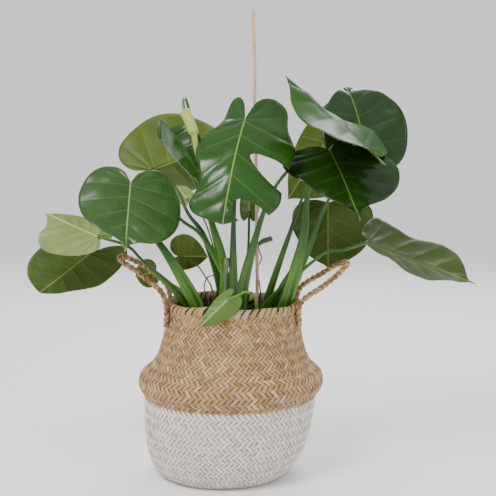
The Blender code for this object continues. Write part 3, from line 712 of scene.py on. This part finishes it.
def make_weave(natural, washed):
    """Rings of floats two crossing rows high, leaning one way and then the other."""
    crease = next(turn for turn, _, height in PROFILE if height >= CREASE_HEIGHT)
    top = PROFILE[-1][0]
    lower, upper = [], []
    row = 1.5
    while row * ROW < top - .6 * ROW:
        direction = 1 if round((row - 1.5) / 2) % 2 == 0 else -1
        for i in range(STRANDS):
            angle = TAU * i / STRANDS + direction * row * ROW
            (lower if row * ROW < crease else upper).append((angle, row * ROW, direction))
        row += 2
    part_of_plant(weave_band("weave_natural", upper, natural), "seagrass")
    part_of_plant(weave_band("weave_washed", lower, washed), "seagrass")


RIM_WRAPS = 58
RIM_STITCHES = 50


def wavy_rim(angle):
    """How much higher the hand-made rim stands at an angle."""
    return 2.2 * MM * math.sin(3 * angle + .8) + 1.4 * MM * math.sin(7 * angle + 2.1)


def strip_ring(name, count, path, wide, finish, long=12, across=4):
    """count short strips round the basket. path(angle, share, side) gives a strip's point, with
    share 0 to 1 along it and side -1 to 1 across it; wide is only its width in the UV map."""
    rng = random.Random(name)
    bm, tone, edge = flat_strips(count, long, across, 12 * MM, wide / 2)
    size = (long + 1) * (across + 1)
    shades = [rng.random() for _ in range(count)]
    jitter = [rng.uniform(-.12, .12) for _ in range(count)]
    for index, v in enumerate(bm.verts):
        which = index // size
        angle = TAU * (which + jitter[which]) / count
        # edge: where the painted shade falls, towards the strip's sides
        v[edge] = abs(v.co.y)
        v.co = path(angle, (v.co.x + 1) / 2, v.co.y)
        v[tone] = shades[which]
    bmesh.ops.recalc_face_normals(bm, faces=bm.faces)
    made = finish_mesh(name, bm, [finish])
    skin = made.modifiers.new("thickness", "SOLIDIFY")
    skin.thickness = .7 * MM
    skin.offset = -1
    return made


def make_rim(natural, stitch):
    middle = RIM_RADIUS - BASKET_WALL / 2

    def over_edge(angle, share, side):
        """Up the outside, over the top and down the inside, leaning as it goes."""
        turned = angle + (share - .5) * .20 + side * .046
        bend = math.pi * (share * 1.5 - .25)
        half = BASKET_WALL / 2 + 1.9 * MM + .6 * MM * (1 - side * side)
        out = half * math.cos(bend)
        top = RIM_HEIGHT + 2 * MM + wavy_rim(turned)
        rise = 6.0 * MM * math.sin(bend) if math.sin(bend) > 0 else 13 * MM * math.sin(bend)
        radius = middle + out
        return Vector((basket_centre(RIM_HEIGHT) + radius * math.cos(turned),
                       radius * math.sin(turned), top + rise))

    def cross(lean):
        def path(angle, share, side):
            turned = angle + lean * (share - .5) * .15 + side * .012
            lift = 1.9 * MM + .8 * MM * math.sin(math.pi * share) + .3 * MM * (1 - side * side)
            radius = RIM_RADIUS + lift
            height = 277 * MM + (share - .5) * 13 * MM + wavy_rim(turned) * .6
            return Vector((basket_centre(RIM_HEIGHT) + radius * math.cos(turned),
                           radius * math.sin(turned), height))
        return path

    wraps = strip_ring("rim_wraps", RIM_WRAPS, over_edge, 9 * MM, natural)
    part_of_plant(wraps, "seagrass", "plaited_rim")
    for name, lean in (("rim_stitch_one", 1), ("rim_stitch_two", -1)):
        part_of_plant(strip_ring(name, RIM_STITCHES, cross(lean), 3 * MM, stitch, long=6, across=2),
                      "seagrass")


# ---- rope handles -----------------------------------------------------------------------------

HANDLE_SPREAD = 46 * MM
HANDLES = {
    "rope_handle_left": dict(side=-1, rise=(30, 62, 79, 83), reach=(9, 46, 76, 84), near_drop=2),
    "rope_handle_right": dict(side=1, rise=(24, 48, 68, 73), reach=(8, 44, 74, 86), near_drop=9),
}


def handle_route(side, rise, reach, near_drop):
    """Up the outside of the wall, out over the side, round the end and back to the other leg."""
    clearance = ROPE_RADIUS + 2 * MM
    top = RIM_HEIGHT
    middle = basket_centre(top)
    leg_out = math.sqrt(RIM_RADIUS**2 - HANDLE_SPREAD**2) + clearance

    def leg(direction):
        drop = near_drop * MM if direction < 0 else 0
        spread = direction * HANDLE_SPREAD
        points = [Vector((leg_out + 1.5 * MM, spread * 1.03, top - 30 * MM)),
                  Vector((leg_out + .5 * MM, spread * 1.03, top - 2 * MM))]
        for up, out, share in zip(rise, reach, (1, .94, .62, 0)):
            points.append(Vector((leg_out + out * MM, spread * share,
                                  top + up * MM - drop * share)))
        return points

    near, far = leg(-1), leg(1)
    points = near + far[-2::-1]
    return [Vector((middle + side * p.x, p.y, p.z)) for p in points]


def make_handles(finish):
    """Two strands laid into a rope 11 mm thick, one turn every 21 mm."""
    lay, strand, offset = 21 * MM, 2.95 * MM, 2.45 * MM
    for name, shape in HANDLES.items():
        step = 2.2 * MM
        route = even_route(handle_route(**shape), step)
        framed = sections(route, Vector((0, 0, 1)))
        for number in range(2):
            coil = []
            for i, (point, a, b) in enumerate(framed):
                phase = TAU * (i * step / lay + number / 2)
                coil.append(point + a * offset * math.cos(phase) + b * offset * math.sin(phase))
            made = tube(f"{name}_strand_{number + 1}", coil,
                        lambda share, angle: (strand * math.cos(angle), strand * math.sin(angle)),
                        finish, around=8, hint=Vector((0, 0, 1)))
            part_of_plant(made, "rope", *([name] if number == 0 else []))


# ---- leaves -----------------------------------------------------------------------------------

SIDE_VEINS = 9
SPLIT_ROOT = .3  # how far out from the midrib a split starts
LOBE_REACH = .27  # of the blade's length, over which lift and curl turn by their degrees
HALF_WIDTH = .55


def leaf_frame(leaf):
    base, tip = Vector(leaf["base"]) * MM, Vector(leaf["tip"]) * MM
    chord = tip - base
    ahead = chord.normalized()
    face = Vector(leaf["face"])
    up = (face - ahead * face.dot(ahead)).normalized()
    right = ahead.cross(up)
    half_turn = math.radians(leaf["arch"]) / 2
    length = chord.length * (half_turn / math.sin(half_turn) if abs(half_turn) > 1e-4 else 1)
    return base, ahead, up, right, half_turn, length


def arc_step(start, turn, distance):
    """(along, up) after a distance on an arc that sets off at an angle and turns per metre."""
    if abs(turn) < 1e-6:
        return distance * math.cos(start), distance * math.sin(start)
    end = start + turn * distance
    return (math.sin(end) - math.sin(start)) / turn, (math.cos(start) - math.cos(end)) / turn


def blade_point(leaf, shape, x, y, height):
    """The point of the bent blade at x along the midrib and y across it, height off its face."""
    base, ahead, up, right, half_turn, length = shape
    turn = -2 * half_turn / length
    if x < 0:
        turn += math.radians(leaf["lift"]) / (LOBE_REACH * length)
    along, rise = arc_step(half_turn, turn, x)
    angle = half_turn + turn * x
    spine = base + ahead * along + up * rise
    local_up = up * math.cos(angle) - ahead * math.sin(angle)
    reach = min(max(x / length, 0), 1)
    side = 0 if y < 0 else 1
    across = right * (-1 if y < 0 else 1)
    start, end = leaf["fold"][side]
    fold = math.radians(start + (end - start) * reach)
    curl = math.radians(leaf["curl"][side]) / (HALF_WIDTH * length)
    out, lift = arc_step(fold, curl, abs(y))
    slope = fold + curl * abs(y)
    skin = local_up * math.cos(slope) - across * math.sin(slope)
    return spine + across * out + local_up * lift + skin * height


def flat_point(leaf, length, u, v):
    """(x, y) on the flat blade of row u (0 at the notch, 1 at the tip) and column v (-1 to 1)."""
    side = 0 if v < 0 else 1
    lobes, wide = leaf["lobes"], leaf["wide"][side]
    outline = [Vector((x * (lobes if x < 0 else 1), y * wide)) * length
               for x, y in leaf["edges"][side]]
    edge = curve_point(outline, u)
    ahead = max(0, (u - FIRST_VEIN_ROW) / (1 - FIRST_VEIN_ROW))
    root = length * ahead ** 1.1
    share = abs(v)
    return root + (edge.x - root) * share, math.copysign(max(edge.y, 0) * share, v)


def make_blade(name, leaf, rows=90, half_columns=14):
    """One blade: sunk side veins with soft ridges between them, and a gently waved margin."""
    shape = leaf_frame(leaf)
    length = shape[5]
    rng = random.Random(name)
    phases = [rng.uniform(0, TAU) for _ in range(4)]
    ridge = min(1.8 * MM, length * .012)
    wave = min(2.2 * MM, length * .016)
    columns = 2 * half_columns
    places = [i / rows for i in range(rows + 1)]
    bm = bmesh.new()
    bmesh.ops.create_grid(bm, x_segments=rows, y_segments=columns, size=1)
    cuts = []
    for side, near, far in leaf["splits"]:
        row = min(range(1, rows - 1), key=lambda i: abs(places[i] - (near + far) / 2))
        cuts.append((side, row, near, far))
    doomed = []
    for face in bm.faces:
        middle = face.calc_center_median()
        row = int((middle.x + 1) / 2 * rows)
        for side, cut_row, *_ in cuts:
            if row == cut_row and side == (0 if middle.y < 0 else 1) and abs(middle.y) > SPLIT_ROOT:
                doomed.append(face)
    bmesh.ops.delete(bm, geom=doomed, context="FACES")
    flat_layer = bm.loops.layers.uv.new("flat")
    vein_layer = bm.loops.layers.uv.new("veins")
    spots = {}
    for vert in bm.verts:
        row = round((vert.co.x + 1) / 2 * rows)
        v = round(vert.co.y * half_columns) / half_columns
        u = places[row]
        for side, cut_row, near, far in cuts:
            if side != (0 if v < 0 else 1) or abs(v) < SPLIT_ROOT:
                continue
            # rows on each side of a split draw back from it, more towards the margin
            gape = min(1, (abs(v) - SPLIT_ROOT) / (1 - SPLIT_ROOT) * 1.6) ** .5
            middle_row = (places[cut_row] + places[cut_row + 1]) / 2
            edge = near if row <= cut_row else far
            distance = row - cut_row if row <= cut_row else row - cut_row - 1
            ease = max(0, 1 - abs(distance) / 6)
            u += ease * gape * (edge - middle_row)
        spots[vert] = (u, v)
    for vert, (u, v) in spots.items():
        x, y = flat_point(leaf, length, min(max(u, 0), 1), v)
        share = abs(v)
        veins = abs(math.sin(math.pi * u * SIDE_VEINS))
        body = smoothstep(0, .3, share) * (1 - .75 * smoothstep(.7, 1, share))
        height = ridge * (veins ** .7 - .5) * body
        side = 0 if v < 0 else 1
        edge = math.sin(TAU * 2.4 * u + phases[side])
        edge += .5 * math.sin(TAU * 5.3 * u + phases[side + 2])
        height += wave * edge * share ** 2.2 * smoothstep(0, .15, u) * (1 - smoothstep(.85, 1, u))
        swell = noise.noise(Vector((x * 17, y * 17, phases[0]))) + .4 * noise.noise(
            Vector((x * 44, y * 44, phases[1])))
        height += ridge * 1.7 * swell * smoothstep(0, .2, share)
        height -= ridge * .5 * math.exp(-(y / (2.2 * MM)) ** 2)
        spots[vert] = (u, v, x, y)
        vert.co = blade_point(leaf, shape, x, y, height)
    for face in bm.faces:
        for loop in face.loops:
            u, v, x, y = spots[loop.vert]
            loop[flat_layer].uv = (x, y)
            loop[vein_layer].uv = (u * SIDE_VEINS, v)
    bmesh.ops.remove_doubles(bm, verts=bm.verts, dist=.02 * MM)
    loose = [v for v in bm.verts if not v.link_faces]
    bmesh.ops.delete(bm, geom=loose, context="VERTS")
    # the grid's own faces look up before they are bent, so the skin's outside is the upper side
    top, under = leaf["finish"]
    made = finish_mesh(f"leaf_{name}", bm, [FINISHES[top], FINISHES[under]])
    normal = sum((p.normal * p.area for p in made.data.polygons), Vector())
    if normal.dot(shape[2]) < 0:
        made.data.flip_normals()
    skin = made.modifiers.new("thickness", "SOLIDIFY")
    skin.thickness = min(.6 * MM, length * .005)
    skin.offset = 0
    skin.material_offset = 1
    skin.material_offset_rim = 1
    return part_of_plant(made, "leaf", f"blade_{name}")


def make_new_leaf(finish):
    """A new leaf, still rolled up, hanging from its stalk."""
    route = even_route([Vector(p) * MM for p in NEW_LEAF], 2 * MM)

    def scroll(share, angle):
        """A wide tube where the roll leaves its stalk, then a slim spear down to the tip."""
        size = (8.2 - 3.6 * smoothstep(.36, .42, share)) * MM
        size *= (1 - .85 * smoothstep(.55, 1, share)) * (1 + .16 * angle / TAU)
        return size * math.cos(angle), size * math.sin(angle)

    made = tube("new_leaf_roll", route, scroll, finish, around=24, hint=Vector((0, -1, 0)),
                close=False)
    skin = made.modifiers.new("thickness", "SOLIDIFY")
    skin.thickness = .8 * MM
    skin.offset = -1
    skin.material_offset_rim = 0
    made.data.uv_layers[0].name = "flat"
    part_of_plant(made, "leaf", "blade_new_rolled")


# ---- stalks -----------------------------------------------------------------------------------


def stalk_joint(name):
    if name == "new_leaf":
        return Vector(NEW_LEAF[0]) * MM
    base, ahead, up, *_ = leaf_frame(LEAVES[name])
    return base - up * (STALKS[name]["radius"][1] * .75 * MM)


def make_stalk(name, stalk, finish):
    """A round stalk that widens downwards into a flattened, grooved sheath."""
    first = stalk["route"][0]
    ground = SOIL_TOP / MM + .4
    points = [Vector((*first, ground)) * MM, Vector((*first, ground + 24)) * MM]
    points += [Vector(p) * MM for p in stalk["route"][1:]] + [stalk_joint(name)]
    route = even_route(points, 5 * MM)
    foot, head = (r * MM for r in stalk["radius"])
    side = Vector((1, .35, 0))

    def shape(share, angle):
        size = foot + (head - foot) * min(1, 1.5 * share)
        sheath = 1 - smoothstep(.30, .78, share)
        if foot < 3 * MM:
            sheath = 0
        wide = size * (1.15 + 1.05 * sheath)
        deep = size * (1.05 - .2 * sheath)
        groove = .45 * size * sheath * max(0, -math.sin(angle)) ** 3
        swell = 1 + .22 * math.exp(-((share - 1) / .025) ** 2)
        return (wide * math.cos(angle) * swell, (deep * math.sin(angle) + groove) * swell)

    made = tube(f"leaf_stalk_{name}", route, shape, finish, around=18, hint=side)
    return part_of_plant(made, "stalk", f"stalk_{name}")


def make_bare_stalks(finish, root_finish):
    for name, (points, radii) in BARE_STALKS.items():
        points = [Vector(p) * MM for p in points]
        count = 14 * (len(points) - 1)
        route = [curve_point(points, i / count) for i in range(count + 1)]
        sizes = [Vector((r, 0)) * MM for r in radii]

        def shape(share, angle):
            size = curve_point(sizes, share).x
            return size * math.cos(angle), size * math.sin(angle)

        made = tube(f"bare_{name}", route, shape, root_finish if "root" in name else finish,
                    around=10, hint=Vector((.3, 1, .1)))
        part_of_plant(made, "stalk", name)


# ---- cane, soil and pot -----------------------------------------------------------------------

CANE_FOOT = Vector((60, 18, 0)) * MM
CANE_BURIED = 30 * MM
CANE_HEAD = Vector((53, 30, 0)) * MM


def make_cane(finish):
    """A thin cane with a swollen ring every 80 mm or so, and a slight bow."""
    foot = SOIL_TOP - CANE_BURIED
    count = 170
    route = []
    for i in range(count + 1):
        z = foot + (CANE_TOP - foot) * i / count
        share = max(0, (z - SOIL_TOP) / (CANE_TOP - SOIL_TOP))
        spot = CANE_FOOT.lerp(CANE_HEAD, share)
        spot.x += 2 * MM * math.sin(math.pi * share) + .5 * MM * math.sin(share * 31)
        route.append(Vector((spot.x, spot.y, z)))
    rings = [.16, .27, .41, .53, .66, .78, .90]

    def shape(share, angle):
        size = 2.85 * MM
        for ring in rings:
            size += .55 * MM * math.exp(-((share - ring) / .0045) ** 2)
        return size * math.cos(angle), size * math.sin(angle)

    made = tube("cane", route, shape, finish, around=14, hint=Vector((1, 0, 0)))
    part_of_plant(made, "bamboo", "bamboo_cane")


def make_soil(finish, chip_finish):
    """Loose potting mix: a crumbly surface with bits of bark lying on it."""
    edge_radius = 88 * MM
    bm = bmesh.new()
    bmesh.ops.create_grid(bm, x_segments=120, y_segments=120, size=edge_radius)
    outside = [v for v in bm.verts if v.co.length > edge_radius]
    bmesh.ops.delete(bm, geom=outside, context="VERTS")
    for v in bm.verts:
        share = v.co.length / edge_radius
        lumps = noise.noise(v.co * 90) * 1.8 + noise.noise(v.co * 260) * 1.3
        v.co.z = SOIL_TOP + (lumps - 2.5 - 4 * share**3) * MM
        v.co.x += POT_X
    made = finish_mesh("soil_surface", bm, [finish])
    part_of_plant(made, "soil")
    rng = random.Random("bark")
    bm = bmesh.new()
    for _ in range(260):
        angle, out = rng.uniform(0, TAU), 84 * MM * math.sqrt(rng.random())
        made = bmesh.ops.create_icosphere(bm, subdivisions=1, radius=rng.uniform(1.2, 3.2) * MM)
        squash = Vector((rng.uniform(.7, 1.8), rng.uniform(.7, 1.2), rng.uniform(.4, .7)))
        turn = rng.uniform(0, TAU)
        for v in made["verts"]:
            p = Vector((v.co.x * squash.x, v.co.y * squash.y, v.co.z * squash.z))
            p += p.normalized() * rng.uniform(-.3, .3) * MM
            x = p.x * math.cos(turn) - p.y * math.sin(turn)
            y = p.x * math.sin(turn) + p.y * math.cos(turn)
            v.co = Vector((POT_X + out * math.cos(angle) + x, out * math.sin(angle) + y,
                           SOIL_TOP + p.z - .5 * MM))
    bmesh.ops.recalc_face_normals(bm, faces=bm.faces)
    part_of_plant(finish_mesh("bark_chips", bm, [chip_finish], smooth=False), "soil")


# ---- putting it together ----------------------------------------------------------------------

FINISHES = {
    # broad dark uppers
    "dark": blade_finish("leaf upper side, mature, waxy", "#092002", "#163c05", "#587f2c", .27),
    "glossy": blade_finish("leaf upper side, full green, waxy", "#0f3203", "#1f5208", "#7ea04c", .22),
    "heart": blade_finish("leaf upper side, grey green, waxy", "#17360a", "#345c20", "#8ba765", .26),
    "matte": blade_finish("leaf upper side, soft green, dull", "#163f06", "#2a5a0e", "#5c8a36", .46),
    # undersides
    "olive": blade_finish("leaf underside, olive", "#364a03", "#55690b", "#8a9c3c", .5, .5),
    # the olive underside darkened as painted shade, for blades in the shade of others
    "shade": blade_finish("leaf underside, olive, painted shade", "#283c03", "#435a0c", "#75843a", .5, .45),
    "pale": blade_finish("leaf underside, pale grey green", "#6c8040", "#93a662", "#bec890", .5, .55),
    "fresh": blade_finish("leaf underside, fresh green", "#3c5c16", "#5c7c30", "#93ac68", .42, .4),
    "rolled": blade_finish("new leaf, rolled, pale green", "#6c8420", "#a3b850", "#ccd488", .33, .3),
}

# each seagrass finish's last colour is painted shade for the gaps between strips
natural = seagrass_finish(
    "seagrass strip, dried, natural", ["#9c7848", "#b3905e", "#c7a674", "#b8976a", "#dcc294"],
    "#7a5a34", .5, "#3a2612")
washed = seagrass_finish(
    "seagrass strip, lime washed", ["#d3c9c0", "#e6e0da", "#f3efeb", "#ddd5cd", "#fbf9f7"],
    "#b39f88", .35, "#5b4b3c", .75)
stitch = seagrass_finish(
    "seagrass strip, stitching", ["#a8793e", "#cfa365", "#e6c58e"], "#7a5028", .4, "#2e1b0c")
rope = rope_finish("seagrass rope, twisted", "#d4b184", "#8f6c42", "#38220f")

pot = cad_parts["grow_pot"]
pot.data.materials.clear()
pot.data.materials.append(grained_finish(
    "polypropylene, moulded, nursery pot", "#0d0d0d", "#1c1b1a", 1 / 900, .55, .3, .3 * MM))
soil_finish = grained_finish("potting mix, damp", "#0d0805", "#33231a", 1 / 420, .95, .8, 2 * MM)
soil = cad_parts["potting_soil"]
soil.data.materials.clear()
soil.data.materials.append(soil_finish)

make_lining(lining_finish())
make_weave(natural, washed)
make_rim(natural, stitch)
make_handles(rope)
for name, leaf in LEAVES.items():
    make_blade(name, leaf)
make_new_leaf(FINISHES["rolled"])

stalks = {
    "green": stalk_finish("leaf stalk, mid green", "#2f650a", "#689a26", "#143c04"),
    "deep": stalk_finish("leaf stalk, dark green", "#1c4a06", "#3f7414", "#0c2803"),
    "pale": stalk_finish("leaf stalk, pale green", "#5c8a26", "#92b450", "#38640f"),
}
for name, stalk in STALKS.items():
    make_stalk(name, stalk, stalks[stalk.get("finish", "green")])
make_bare_stalks(stalk_finish("cut stalk, drying", "#5d6a4c", "#8b9474", "#3a4430", .6),
                 grained_finish("aerial root, dry", "#4a4334", "#8a8062", 1 / 600, .8, .5, .4 * MM))
make_cane(cane_finish())
make_soil(soil_finish, grained_finish("bark chip", "#1d120b", "#5a402b", 1 / 300, .9, .6, 1 * MM))

# ---- floor, light and camera ------------------------------------------------------------------

bm = bmesh.new()
bmesh.ops.create_grid(bm, x_segments=1, y_segments=1, size=6)
floor_finish, tree, shader = new_material("studio floor, matt white")
paper = add(tree, "TexNoise", {}, {"Scale": 3})
paper = add(tree, "ValToRGB", {"stops": [(0, "#f4f4f4"), (1, "#ffffff")]}, {0: paper})
feed(tree, shader, "Base Color", paper)
shader.inputs["Roughness"].default_value = .9
floor = finish_mesh("studio_floor", bm, [floor_finish])

world = bpy.data.worlds.new("studio")
bpy.context.scene.world = world
world.use_nodes = True
world.node_tree.nodes["Background"].inputs[0].default_value = (1, 1, 1, 1)
world.node_tree.nodes["Background"].inputs[1].default_value = 1.0


def softbox(name, place, aim, size, power):
    light = bpy.data.lights.new(name, "AREA")
    light.shape = "RECTANGLE"
    light.size, light.size_y = size
    light.energy = power
    made = bpy.data.objects.new(name, light)
    made.location = place
    made.rotation_euler = (Vector(aim) - Vector(place)).to_track_quat("-Z", "Y").to_euler()
    bpy.context.scene.collection.objects.link(made)


softbox("key", (-1.0, -1.5, 2.3), (0, 0, .4), (.9, .9), 58)
softbox("fill", (1.9, -1.4, 1.2), (0, 0, .4), (1.4, 1.4), 10)
softbox("rim", (.4, 1.9, 2.0), (0, 0, .5), (1.6, 1.0), 40)

camera = bpy.data.cameras.new("camera")
camera.lens = 78
camera.sensor_width = 36
eye = bpy.data.objects.new("camera", camera)
eye.location = (.044, -1.85, .590)
eye.rotation_euler = (math.radians(84), 0, 0)
bpy.context.scene.collection.objects.link(eye)
bpy.context.scene.camera = eye
